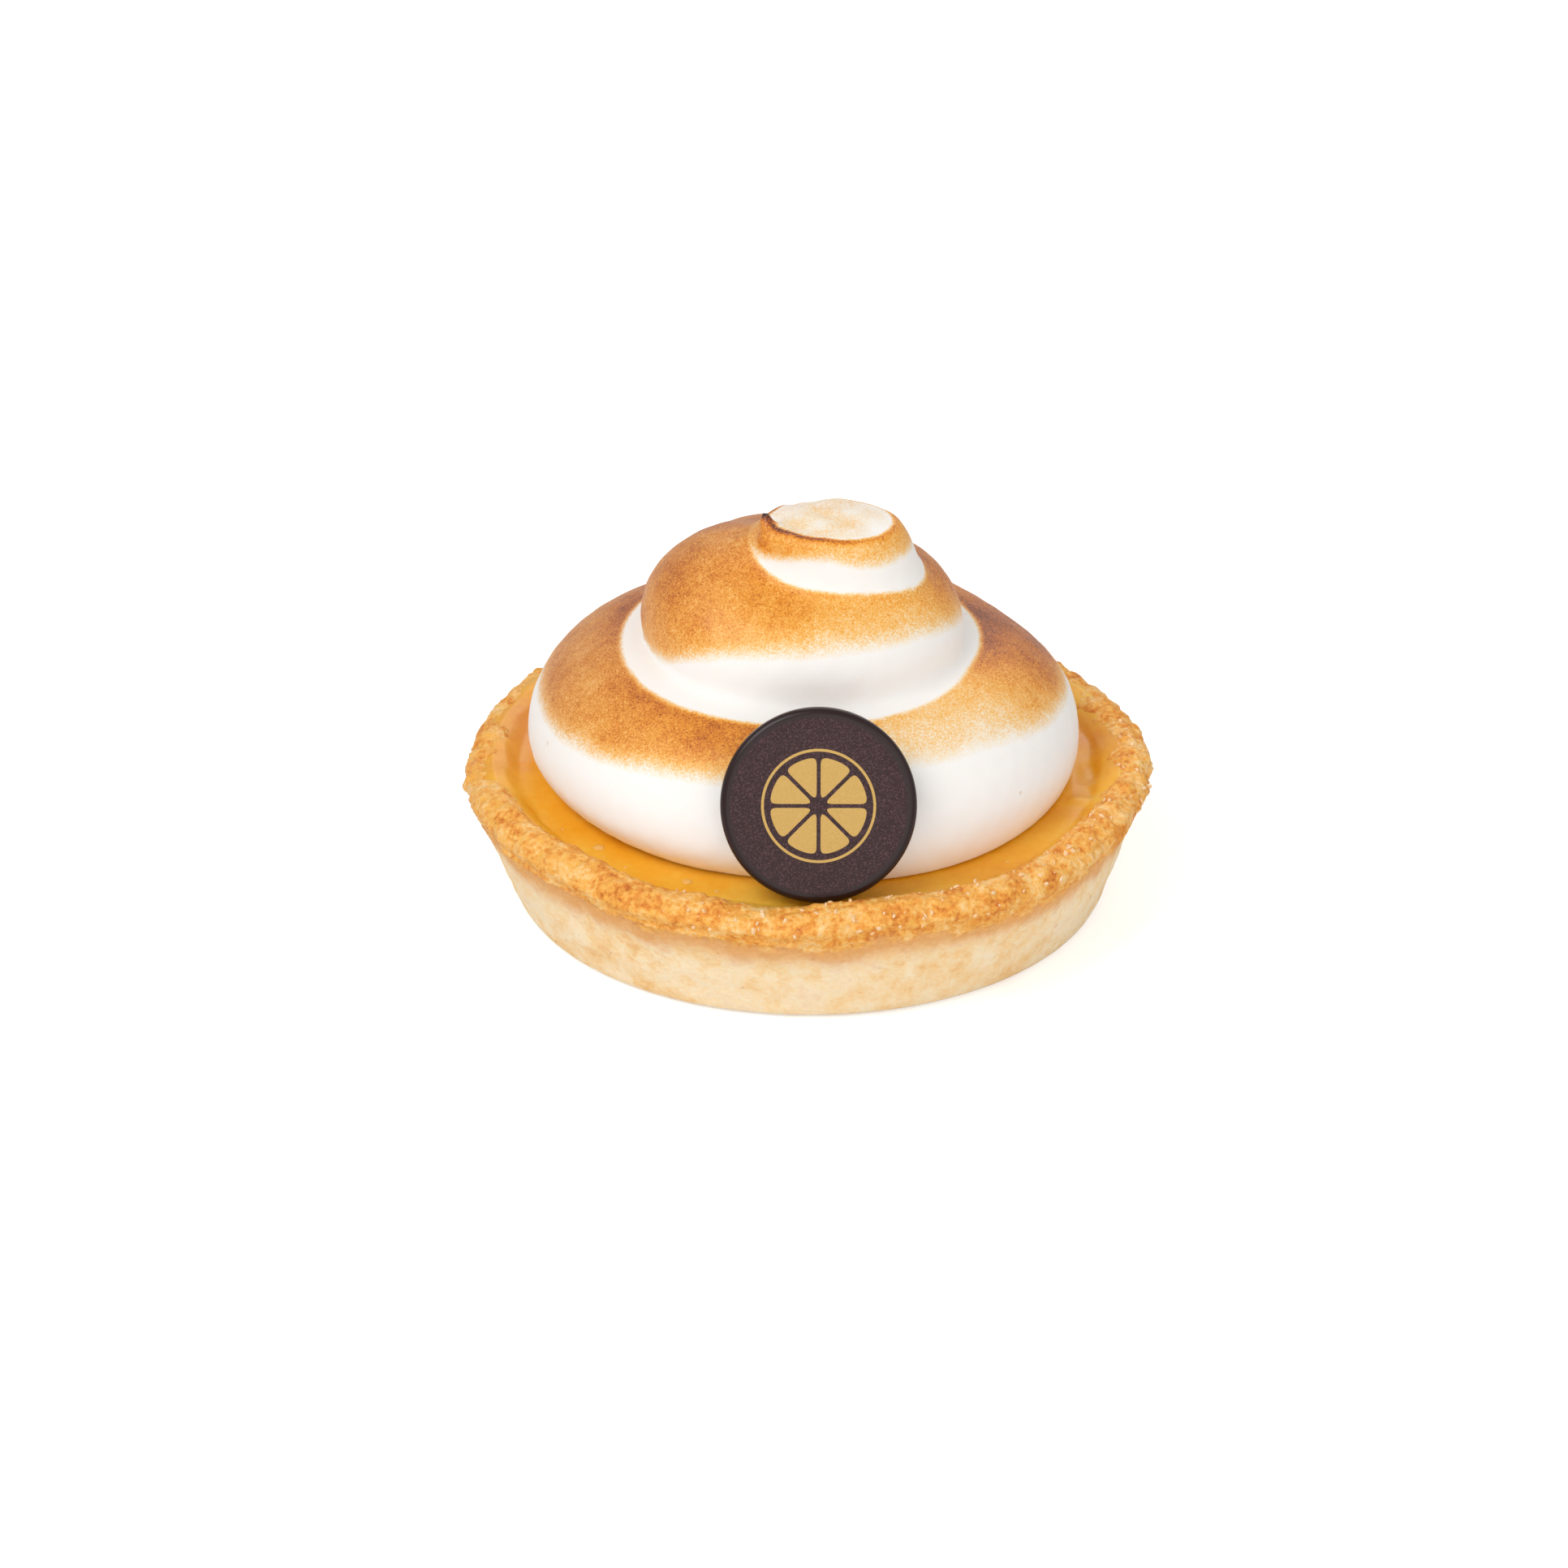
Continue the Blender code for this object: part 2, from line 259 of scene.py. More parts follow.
def baked_pastry():
    """Golden, egg-washed rim that fades into a pale, mottled wall."""
    material, bench, shader, place = new_finish("baked_shortcrust")
    baked = bench.lay("Attribute", attribute_name="baked").outputs["Fac"]
    cloud = bench.grain(place, 95.0, 3.0)
    patch = bench.grain(place, 330.0, 4.0, 0.6, 3.1)
    crumb = bench.grain(place, 1500.0, 3.0, 0.6, 7.7)
    fleck = bench.grain(place, 700.0, 2.0, 0.5, 21.0)
    mottle = bench.total((cloud, 0.35), (patch, 0.45), (crumb, 0.20))
    pale = bench.ramp(
        mottle,
        (
            (0.38, tint(243, 193, 128)),
            (0.45, tint(251, 213, 156)),
            (0.52, tint(254, 228, 186)),
            (0.60, tint(255, 237, 206)),
        ),
    )
    golden = bench.ramp(
        bench.total((patch, 0.55), (crumb, 0.45)),
        (
            (0.36, tint(198, 104, 28)),
            (0.44, tint(230, 146, 50)),
            (0.52, tint(246, 180, 80)),
            (0.62, tint(252, 208, 140)),
        ),
    )
    browned = bench.blend(crumb, tint(222, 152, 84), tint(245, 190, 122))
    uneven = bench.total((cloud, 0.9), (patch, 0.9), (None, -0.9))
    edge = bench.maths("ADD", baked, uneven)
    colour = bench.blend(bench.rise(edge, 0.08, 0.60), pale, browned)
    colour = bench.blend(bench.rise(edge, 0.60, 0.86), colour, golden)
    dot = bench.maths("MULTIPLY", bench.rise(fleck, 0.68, 0.76), 0.35)
    colour = bench.blend(dot, colour, tint(190, 108, 44))
    # Egg wash and curd smeared over the rim, thickest at the left
    parts = bench.lay("SeparateXYZ", {"Vector": place})
    leftward = bench.maths("MULTIPLY", parts.outputs[0], -2.6)
    smear_noise = bench.grain(place, 420.0, 3.0, 0.6, 11.0)
    smear = bench.rise(bench.maths("ADD", smear_noise, leftward), 0.60, 0.68)
    smear = bench.maths("MULTIPLY", smear, bench.rise(baked, 0.80, 1.0))
    colour = bench.blend(bench.maths("MULTIPLY", smear, 0.65), colour, tint(246, 182, 74))
    bench.plug(shader.inputs["Base Color"], colour)
    wash = bench.maths("MULTIPLY", bench.rise(baked, 0.7, 1.0), bench.rise(patch, 0.42, 0.56))
    dull = bench.total((wash, -0.30), (smear, -0.25), (None, 0.75))
    bench.plug(shader.inputs["Roughness"], bench.maths("MAXIMUM", dull, 0.18))
    relief(bench, shader, bench.total((patch, 0.9), (crumb, 1.3)), 0.00035, 0.6)
    soft_inside(shader, 0.12, 0.001, (1.0, 0.5, 0.25))
    return material


def glossy_curd():
    material, bench, shader, place = new_finish("lemon_curd")
    cloud = bench.grain(place, 60.0, 2.0)
    speck = bench.grain(place, 900.0, 2.0, 0.5, 4.0)
    mixed = bench.maths("ADD", bench.maths("MULTIPLY", cloud, 0.8), bench.maths("MULTIPLY", speck, 0.2))
    colour = bench.ramp(
        mixed,
        ((0.35, tint(234, 152, 18)), (0.5, tint(244, 174, 34)), (0.65, tint(249, 193, 66))),
    )
    bench.plug(shader.inputs["Base Color"], colour)
    bench.plug(shader.inputs["Roughness"], bench.rise(cloud, 0.3, 0.7, 0.24, 0.40))
    relief(bench, shader, bench.grain(place, 160.0, 2.0, 0.5, 9.0), 0.00012, 0.5)
    soft_inside(shader, 0.2, 0.002, (1.0, 0.55, 0.1))
    return material


def torched_meringue():
    """White meringue, browned by the attribute "toast" and redder by the attribute "rust"."""
    material, bench, shader, place = new_finish("torched_meringue")
    toast = bench.lay("Attribute", attribute_name="toast").outputs["Fac"]
    rust = bench.lay("Attribute", attribute_name="rust").outputs["Fac"]
    cloud = bench.grain(place, 130.0, 2.0, 0.5)
    patch = bench.grain(place, 480.0, 3.0, 0.6, 8.0)
    fleck = bench.grain(place, 1500.0, 2.0, 0.6, 5.0)
    speck = bench.grain(place, 4200.0, 1.0, 0.5, 2.0)
    change = bench.total((cloud, 0.32), (patch, 0.22), (fleck, 0.26), (speck, 0.66), (None, -0.73))
    change = bench.maths("MULTIPLY", change, bench.rise(toast, -0.10, 0.30))
    brown = bench.maths("ADD", toast, change)
    golden = bench.ramp(
        brown,
        (
            (0.02, tint(249, 244, 239)),
            (0.13, tint(248, 231, 205)),
            (0.26, tint(247, 208, 150)),
            (0.40, tint(246, 184, 88)),
            (0.55, tint(235, 152, 40)),
            (0.70, tint(204, 112, 22)),
            (0.85, tint(140, 68, 20)),
            (1.00, tint(42, 20, 16)),
        ),
    )
    russet = bench.ramp(
        brown,
        (
            (0.02, tint(249, 244, 239)),
            (0.13, tint(244, 226, 208)),
            (0.26, tint(236, 200, 164)),
            (0.40, tint(230, 170, 104)),
            (0.55, tint(212, 138, 64)),
            (0.70, tint(180, 98, 40)),
            (0.85, tint(124, 60, 28)),
            (1.00, tint(42, 20, 16)),
        ),
    )
    colour = bench.blend(rust, golden, russet)
    # Tiny air holes and tan dots, a few in every square centimetre
    spots = bench.cells(place, 330.0)
    near = bench.rise(spots.outputs["Distance"], 0.12, 0.06)
    few = bench.rise(bench.lay("SeparateXYZ", {"Vector": spots.outputs["Color"]}).outputs[0], 0.86, 0.96)
    hole = bench.maths("MULTIPLY", near, few)
    colour = bench.blend(bench.maths("MULTIPLY", hole, 0.35), colour, tint(214, 160, 100))
    bench.plug(shader.inputs["Base Color"], colour)
    bench.plug(shader.inputs["Roughness"], bench.rise(brown, 0.0, 0.7, 0.62, 0.42))
    grain = bench.total((fleck, 0.8), (speck, 1.0))
    grain = bench.maths("MULTIPLY", grain, bench.rise(toast, 0.0, 0.5, 0.35, 1.0))
    height = bench.total((grain, 1.0), (hole, -1.5))
    relief(bench, shader, height, 0.00007, 0.6)
    soft_inside(shader, 0.15, 0.002, (1.0, 0.8, 0.6))
    return material


def satin_chocolate():
    """Dark chocolate with a fine speckled face and a gold citrus slice printed on it."""
    material, bench, shader, place = new_finish("dark_chocolate")
    face = bench.lay("Attribute", attribute_name="face").outputs["Vector"]
    parts = bench.lay("SeparateXYZ", {"Vector": face})
    across, up, front = parts.outputs
    out = bench.length(across, up)
    turn = bench.maths("ARCTAN2", up, across)
    grains = bench.grain(place, 4200.0, 2.0, 0.6)
    patch = bench.grain(place, 420.0, 2.0, 0.5, 6.0)
    inner = bench.maths("MULTIPLY", bench.rise(out, 0.0114, 0.0108), front)
    dark = bench.blend(bench.rise(grains, 0.46, 0.66), tint(46, 19, 19), tint(84, 54, 59))
    plain = bench.blend(patch, tint(32, 14, 14), tint(42, 20, 20))
    brown = bench.blend(inner, plain, dark)
    ring = band(bench, out, 0.0068, 0.0072)
    wedge = bench.maths("PINGPONG", bench.maths("ADD", turn, math.pi), math.pi / 8)
    gap = bench.maths("MULTIPLY_ADD", out, bench.maths("SINE", wedge), -0.00022)
    ends = bench.maths("SMOOTH_MIN", bench.total((out, 1.0), (None, -0.0010)), gap, 0.0009)
    segment = bench.maths("SMOOTH_MIN", ends, bench.total((out, -1.0), (None, 0.0061)), 0.0012)
    slice_print = bench.rise(segment, 0.0, 0.00006)
    mark = bench.maths("MULTIPLY", bench.maths("MAXIMUM", ring, slice_print), front)
    gold = bench.blend(grains, tint(190, 146, 68), tint(216, 178, 104))
    bench.plug(shader.inputs["Base Color"], bench.blend(mark, brown, gold))
    dull = bench.rise(inner, 0.0, 1.0, 0.32, 0.44)
    bench.plug(shader.inputs["Roughness"], dull)
    shader.inputs["Specular IOR Level"].default_value = 0.35
    height = bench.maths("MULTIPLY", grains, bench.maths("ADD", bench.maths("MULTIPLY", inner, 0.9), 0.1))
    relief(bench, shader, height, 0.00010, 0.7)
    return material


def band(bench, value, low, high):
    """1 between low and high, with soft edges."""
    soft = 0.00006
    inside = bench.rise(value, low, low + soft)
    return bench.maths("MULTIPLY", inside, bench.rise(value, high, high - soft))


def clear_sugar():
    material, bench, shader, place = new_finish("clear_sugar")
    cloud = bench.grain(place, 900.0, 2.0)
    bench.plug(shader.inputs["Base Color"], bench.blend(cloud, tint(240, 186, 124), tint(252, 222, 180)))
    bench.plug(shader.inputs["Roughness"], bench.rise(cloud, 0.3, 0.7, 0.15, 0.35))
    soft_inside(shader, 0.15, 0.001, (1.0, 0.7, 0.5))
    return material


def pale_bubble():
    material, bench, shader, place = new_finish("curd_bubble")
    cloud = bench.grain(place, 1500.0, 2.0)
    bench.plug(shader.inputs["Base Color"], bench.blend(cloud, tint(238, 176, 78), tint(246, 200, 120)))
    shader.inputs["Roughness"].default_value = 0.15
    return material


# ---------------------------------------------------------------- helpers for pieces


def put_in_scene(name, mesh, material):
    piece = bpy.data.objects.new(name, mesh)
    bpy.context.scene.collection.objects.link(piece)
    mesh.materials.clear()
    mesh.materials.append(material)
    for face in mesh.polygons:
        face.material_index = 0
    return piece


def hand_in(piece, node=None):
    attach(piece, "root")
    if node:
        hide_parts(node)


def freeze(holder, name):
    """Turns an object with a node tree into a plain mesh object at the origin."""
    graph = bpy.context.evaluated_depsgraph_get()
    mesh = bpy.data.meshes.new_from_object(holder.evaluated_get(graph))
    holder.modifiers.clear()
    bpy.data.objects.remove(holder, do_unlink=True)
    mesh.name = name
    piece = bpy.data.objects.new(name, mesh)
    bpy.context.scene.collection.objects.link(piece)
    return piece


def attach_tree(holder, tree, values):
    """Adds a node tree to an object and sets its named inputs."""
    modifier = holder.modifiers.new(tree.name, "NODES")
    modifier.node_group = tree
    for item in tree.interface.items_tree:
        if item.item_type == "SOCKET" and item.in_out == "INPUT" and item.name in values:
            modifier[item.identifier] = values[item.name]
    return modifier


def new_tree(name, inputs):
    """A geometry node tree with named inputs: name, kind of socket, default."""
    tree = bpy.data.node_groups.new(name, "GeometryNodeTree")
    tree.interface.new_socket("Geometry", in_out="INPUT", socket_type="NodeSocketGeometry")
    for label, kind, default in inputs:
        socket = tree.interface.new_socket(label, in_out="INPUT", socket_type="NodeSocket" + kind)
        if default is not None:
            socket.default_value = default
    tree.interface.new_socket("Geometry", in_out="OUTPUT", socket_type="NodeSocketGeometry")
    bench = Bench(tree, "GeometryNode")
    given = tree.nodes.new("NodeGroupInput").outputs
    leaving = tree.nodes.new("NodeGroupOutput").inputs
    return tree, bench, given, leaving


# ---------------------------------------------------------------- pastry case


def leaning_middle(height):
    return BASE_SHIFT * (1 - height / CASE_HEIGHT)


def case_profile():
    """Radius and height round the case's wall, from under its middle to its floor's middle."""
    inner = RIM_RADIUS - RIM_WIDTH
    band_top = CASE_HEIGHT - 0.0024
    band_low = band_top - RIM_BAND / 2
    wall_top = RIM_RADIUS - 0.0011
    slope = (wall_top - BASE_RADIUS - 0.0012) / (band_low - 0.0014)
    return (
        (0.0, 0.0),
        (BASE_RADIUS, 0.0),
        (BASE_RADIUS + 0.0009, 0.0004),
        (BASE_RADIUS + 0.0014, 0.0014),
        (BASE_RADIUS + 0.0014 + slope * 0.0050, 0.0064),
        (wall_top - LEDGE - 0.0001, band_low - 0.0004),
        (wall_top + LEDGE * 0.4, band_low + 0.0001),
        (RIM_RADIUS - 0.0001, band_top),
        (RIM_RADIUS - 0.0006, CASE_HEIGHT - 0.0010),
        (RIM_RADIUS - 0.0020, CASE_HEIGHT - 0.0002),
        (RIM_RADIUS - 0.0036, CASE_HEIGHT - 0.0001),
        (inner + 0.0012, CASE_HEIGHT - 0.0010),
        (inner, CURD_LEVEL),
        (inner - 0.0014, CURD_LEVEL - 0.0030),
        (BASE_RADIUS - 0.0040, FLOOR + 0.0012),
        (BASE_RADIUS - 0.0056, FLOOR),
        (0.0, FLOOR),
    )


def profile_guide(points):
    curve = bpy.data.curves.new("case_profile", "CURVE")
    curve.dimensions = "3D"
    line = curve.splines.new("POLY")
    line.points.add(len(points) - 1)
    for point, (radius, height) in zip(line.points, points):
        point.co = (radius, 0.0, height, 1.0)
    guide = bpy.data.objects.new("case_profile", curve)
    bpy.context.scene.collection.objects.link(guide)
    return guide


def waves_in_nodes(bench, angle, waves):
    total = 0.0
    for count, phase, height in waves:
        wave = bench.maths("SINE", bench.maths("MULTIPLY_ADD", angle, float(count), phase))
        total = bench.maths("MULTIPLY_ADD", wave, height, total)
    return total


def crust_tree():
    """Turns the case's profile round the axis and gives it a crumbly, hand-pressed surface."""
    inputs = (
        ("Profile", "Object", None),
        ("Rows around", "Int", 640),
        ("Rows along", "Int", 130),
        ("Lump size", "Float", 0.0038),
        ("Lump height", "Float", 0.0019),
        ("Crumb size", "Float", 0.001),
        ("Crumb height", "Float", 0.0010),
        ("Seed", "Float", 5.0),
        ("Step", "Float", LEDGE),
        ("Worn side", "Float", -2.4),
        ("Crust", "Material", None),
    )
    tree, bench, given, leaving = new_tree("pressed_crust", inputs)
    grid = bench.lay(
        "MeshGrid",
        {"Size X": 1.0, "Size Y": 1.0, "Vertices X": given["Rows around"], "Vertices Y": given["Rows along"]},
    )
    place = tree.nodes.new("ShaderNodeSeparateXYZ")
    bench.plug(place.inputs[0], bench.lay("InputPosition").outputs[0])
    angle = bench.maths("MULTIPLY", bench.maths("ADD", place.outputs[0], 0.5), 2 * math.pi)
    along = bench.maths("ADD", place.outputs[1], 0.5)
    # Most rows go to the wall and the rim, where they show
    shares = tree.nodes.new("ShaderNodeFloatCurve")
    curve = shares.mapping.curves[0]
    curve.points[0].location = (0.0, 0.0)
    curve.points[1].location = (1.0, 1.0)
    for spot in ((0.06, 0.300), (0.90, 0.640)):
        curve.points.new(*spot)
    for point in curve.points:
        point.handle_type = "VECTOR"
    shares.mapping.update()
    bench.plug(shares.inputs["Value"], along)
    factor = shares.outputs[0]
    guide = bench.lay("ObjectInfo", {"Object": given["Profile"]}, transform_space="ORIGINAL")
    sample = bench.lay("SampleCurve", mode="FACTOR")
    bench.plug(sample.inputs["Curves"], guide.outputs["Geometry"])
    bench.plug(sample.inputs["Factor"], factor)
    turned = tree.nodes.new("ShaderNodeSeparateXYZ")
    bench.plug(turned.inputs[0], sample.outputs["Position"])
    radius, height = turned.outputs[0], turned.outputs[2]
    upper = bench.rise(height, 0.004, 0.0150)
    outer = bench.rise(radius, 0.036, 0.0392)
    share = bench.maths("MULTIPLY", upper, outer)
    # The step under the rim is crisp at the right and worn away at the left and the front
    worn = bench.rise(bench.maths("SINE", bench.maths("ADD", angle, given["Worn side"])), -0.5, 0.5)
    below = bench.maths("MULTIPLY", bench.rise(height, 0.0080, 0.0130), bench.rise(height, 0.0142, 0.0136))
    worn = bench.maths("MULTIPLY", bench.maths("MULTIPLY", worn, below), given["Step"])
    worn = bench.maths("MULTIPLY", worn, bench.rise(radius, 0.0372, 0.0388))
    radius = bench.maths("ADD", radius, worn)
    reach = bench.maths("MULTIPLY_ADD", waves_in_nodes(bench, angle, RIM_REACH), share, radius)
    lift = bench.maths("MULTIPLY_ADD", waves_in_nodes(bench, angle, RIM_LIFT), share, height)
    shift = bench.maths("MULTIPLY_ADD", height, -BASE_SHIFT / CASE_HEIGHT, BASE_SHIFT)
    shift = bench.maths("MULTIPLY", shift, bench.rise(radius, 0.0, 0.001))
    joined = tree.nodes.new("ShaderNodeCombineXYZ")
    bench.plug(joined.inputs[0], bench.maths("MULTIPLY_ADD", reach, bench.maths("COSINE", angle), shift))
    bench.plug(joined.inputs[1], bench.maths("MULTIPLY", reach, bench.maths("SINE", angle)))
    bench.plug(joined.inputs[2], lift)
    # The attribute "baked" is 1 on the rim and 0 low on the wall
    baked = bench.maths("MULTIPLY", bench.rise(height, 0.0070, 0.0160), bench.rise(radius, 0.0372, 0.0388))
    stored = bench.lay("StoreNamedAttribute", data_type="FLOAT", domain="POINT")
    stored.inputs["Name"].default_value = "baked"
    bench.plug(stored.inputs["Geometry"], grid.outputs["Mesh"])
    bench.plug(stored.inputs["Value"], baked)
    shaped = bench.lay("SetPosition", {"Geometry": stored.outputs[0], "Position": joined.outputs[0]})
    closed = bench.lay("MergeByDistance", {"Geometry": shaped.outputs[0], "Distance": 0.000002})
    # Lumps and crumbs push the surface in and out
    where = bench.lay("InputPosition").outputs[0]
    facing = bench.lay("InputNormal").outputs[0]
    marked = bench.lay("InputNamedAttribute", data_type="FLOAT")
    marked.inputs["Name"].default_value = "baked"
    rim = marked.outputs[0]
    lumps = grain_in_nodes(bench, where, given["Lump size"], given["Seed"], 2.0)
    crumbs = grain_in_nodes(bench, where, given["Crumb size"], given["Seed"], 3.0)
    lump = bench.maths("MULTIPLY", bench.maths("SUBTRACT", lumps, 0.5), given["Lump height"])
    crumb = bench.maths("MULTIPLY", bench.maths("SUBTRACT", crumbs, 0.5), given["Crumb height"])
    lump = bench.maths("MULTIPLY", lump, bench.maths("MULTIPLY_ADD", rim, 0.65, 0.35))
    crumb = bench.maths("MULTIPLY", crumb, bench.maths("MULTIPLY_ADD", rim, 0.80, 0.20))
    split = tree.nodes.new("ShaderNodeSeparateXYZ")
    bench.plug(split.inputs[0], where)
    low = bench.rise(split.outputs[2], 0.0, 0.002)
    push = bench.maths("MULTIPLY", bench.maths("ADD", lump, crumb), low)
    offset = bench.stretched(facing, push)
    rough = bench.lay("SetPosition", {"Geometry": closed.outputs[0], "Offset": offset})
    smooth = bench.lay("SetShadeSmooth", {"Geometry": rough.outputs[0]})
    real = bench.lay("RealizeInstances", {"Geometry": smooth.outputs[0]})
    dressed = bench.lay("SetMaterial", {"Geometry": real.outputs[0], "Material": given["Crust"]})
    bench.plug(leaving[0], dressed.outputs[0])
    return tree


def grain_in_nodes(bench, where, size, seed, detail):
    node = bench.tree.nodes.new("ShaderNodeTexNoise")
    node.noise_dimensions = "4D"
    bench.plug(node.inputs["Vector"], where)
    bench.plug(node.inputs["W"], seed)
    bench.plug(node.inputs["Scale"], bench.maths("DIVIDE", 1.0, size))
    node.inputs["Detail"].default_value = detail
    node.inputs["Roughness"].default_value = 0.6
    return node.outputs[0]


def bake_case(crust):
    guide = profile_guide(case_profile())
    holder = bpy.data.objects.new("crust_holder", bpy.data.meshes.new("crust_holder"))
    bpy.context.scene.collection.objects.link(holder)
    attach_tree(holder, crust_tree(), {"Profile": guide, "Crust": crust})
    case = freeze(holder, "crumbly_case")
    bpy.data.objects.remove(guide, do_unlink=True)
    return case


# ---------------------------------------------------------------- lemon curd


def ease(value, low, high):
    share = np.clip((value - low) / (high - low), 0.0, 1.0)
    return share * share * (3.0 - 2.0 * share)


def near_angle(angle, middle, spread):
    """1 at the middle angle, easing to 0 at spread degrees away from it."""
    away = np.abs((np.degrees(angle) - middle + 180) % 360 - 180)
    return 1.0 - ease(away, 0.0, spread)


def rim_height(angle, radius):
    """The top of the pressed rim, from its inner lip outwards."""
    inner = RIM_RADIUS - RIM_WIDTH
    rows = (
        (inner - 0.0014, CURD_LEVEL - 0.0030),
        (inner, CURD_LEVEL),
        (inner + 0.0012, CASE_HEIGHT - 0.0010),
        (RIM_RADIUS - 0.0036, CASE_HEIGHT - 0.0001),
        (RIM_RADIUS - 0.0020, CASE_HEIGHT - 0.0002),
    )
    level = np.interp(radius, [row[0] for row in rows], [row[1] for row in rows])
    lift = sum(height * np.sin(count * angle + phase) for count, phase, height in RIM_LIFT)
    return level + lift * ease(radius, 0.036, 0.0392)


# How far the curd creeps up over the rim: compass angle and millimetres
CREEP = (
    (-180, 2.4),
    (-165, 1.9),
    (-150, 1.0),
    (-135, 0.5),
    (-105, 0.5),
    (-75, 0.9),
    (-50, 0.4),
    (-28, 0.5),
    (-14, 0.9),
    (-9, 2.2),
    (-4, 0.9),
    (10, 1.3),
    (35, 2.0),
    (60, 1.2),
    (90, 0.6),
    (125, 1.2),
    (150, 3.0),
)


def round_table(angle, table, column=1):
    """Reads a table whose first column is a compass angle in degrees, smoothly all the way round."""
    rows = sorted(table)
    places = [row[0] for row in rows]
    values = [row[column] for row in rows]
    places = [places[-1] - 360, *places, places[0] + 360]
    values = [values[-1], *values, values[0]]
    degrees = (np.degrees(angle) + 180) % 360 - 180
    found = np.zeros_like(degrees)
    for shift in (-3, 0, 3):
        found = found + np.interp(degrees + shift, places, values) / 3
    return found


def curd_height(angle, radius):
    """The curd's surface: nearly level, and drawn up over the rim where it spilled."""
    slow = 0.05 * np.sin(3 * angle + 0.7) + 0.03 * np.sin(8 * angle + radius / MM * 0.5)
    trough = near_angle(angle, -2, 13) * ease(radius, 0.0350, 0.0372) * (1 - ease(radius, 0.0378, 0.0392))
    ripple = near_angle(angle, -16, 3) * ease(radius, 0.0350, 0.0362)
    level = CURD_LEVEL + MM * (slow - 0.8 * trough + 0.35 * ripple)
    creep = round_table(angle, CREEP) + 0.25 * np.sin(17 * angle + 1.0) + 0.2 * np.sin(31 * angle)
    inner = RIM_RADIUS - RIM_WIDTH
    film = 0.30 * (creep * MM - (radius - inner))
    spilled = ease(creep, 0.8, 2.0)
    ramp = np.interp(radius, (0.0350, 0.0380, 0.0400, 0.0414), (0.0150, 0.0158, 0.0171, 0.0179))
    base = rim_height(angle, radius)
    base = base + spilled * np.maximum(ramp - base, 0.0)
    film = base + np.clip(film, -0.0009, 0.0004)
    return -soft_union(-level, -film, 0.0012)


def pour_curd(finish):
    around = 480
    angle = 2 * math.pi * np.arange(around) / around
    radii = [0.012, 0.022, 0.028] + list(np.arange(0.0300, 0.0431, 0.0003))
    rings = [(radius, curd_height(angle, radius)) for radius in radii]
    for radius, height in (
        (0.0428, CASE_HEIGHT - 0.0022),
        (0.0405, CURD_LEVEL - 0.0010),
        (0.0390, CURD_LEVEL - 0.0030),
        (BASE_RADIUS - 0.0044, FLOOR + 0.0016),
        (BASE_RADIUS - 0.0060, FLOOR + GAP),
        (0.018, FLOOR + GAP),
    ):
        rings.append((radius, np.full(around, height)))
    points = []
    for radius, height in rings:
        middle = leaning_middle(height)
        points.append(np.stack([middle + radius * np.cos(angle), radius * np.sin(angle), height], 1))
    mesh = lofted("curd", points, (0, 0, CURD_LEVEL), (0, 0, FLOOR + GAP))
    return put_in_scene("poured_curd", mesh, finish)


def lofted(name, rings, first, last):
    """A closed mesh through rings of points, with a point at each end."""
    count = len(rings[0])
    vertices = np.concatenate([np.array([first]), *rings, np.array([last])])
    faces = []
    for i in range(count):
        j = (i + 1) % count
        faces.append((0, 1 + i, 1 + j))
        end = len(vertices) - 1
        faces.append((end, end - count + j, end - count + i))
    for row in range(len(rings) - 1):
        base = 1 + row * count
        for i in range(count):
            j = (i + 1) % count
            faces.append((base + i, base + count + i, base + count + j, base + j))
    mesh = bpy.data.meshes.new(name)
    mesh.from_pydata([tuple(v) for v in vertices], [], faces)
    mesh.shade_smooth()
    face_outwards(mesh)
    return mesh


def face_outwards(mesh):
    shape = bmesh.new()
    shape.from_mesh(mesh)
    bmesh.ops.recalc_face_normals(shape, faces=shape.faces)
    shape.to_mesh(mesh)
    shape.free()


# Bubbles under the curd's skin: compass angle, distance from the middle and size, in millimetres
BUBBLES = (
    (-139, 35.2, 1.5),
    (-115, 35.6, 1.3),
    (-129, 36.6, 0.5),
    (-135, 36.6, 0.35),
    (-108, 36.5, 0.6),
    (-46, 36.9, 0.5),
    (-150, 36.3, 0.4),
    (62, 36.0, 0.8),
    (118, 36.4, 0.9),
)


def bubble_tree():
    """A flat dome on each point, sized by the point's own "size"."""
    inputs = (("Dome height", "Float", 0.22), ("Facets", "Int", 16), ("Skin", "Material", None))
    tree, bench, given, leaving = new_tree("curd_bubbles", inputs)
    dome = bench.lay("MeshUVSphere", {"Segments": given["Facets"], "Rings": 8, "Radius": 0.5})
    flat = tree.nodes.new("ShaderNodeCombineXYZ")
    bench.plug(flat.inputs[0], 1.0)
    bench.plug(flat.inputs[1], 1.0)
    bench.plug(flat.inputs[2], given["Dome height"])
    low = bench.lay("Transform", {"Geometry": dome.outputs["Mesh"], "Scale": flat.outputs[0]})
    size = bench.lay("InputNamedAttribute", data_type="FLOAT")
    size.inputs["Name"].default_value = "size"
    placed = bench.lay(
        "InstanceOnPoints",
        {"Points": given["Geometry"], "Instance": low.outputs[0], "Scale": size.outputs[0]},
    )
    real = bench.lay("RealizeInstances", {"Geometry": placed.outputs[0]})
    smooth = bench.lay("SetShadeSmooth", {"Geometry": real.outputs[0]})
    dressed = bench.lay("SetMaterial", {"Geometry": smooth.outputs[0], "Material": given["Skin"]})
    bench.plug(leaving[0], dressed.outputs[0])
    return tree


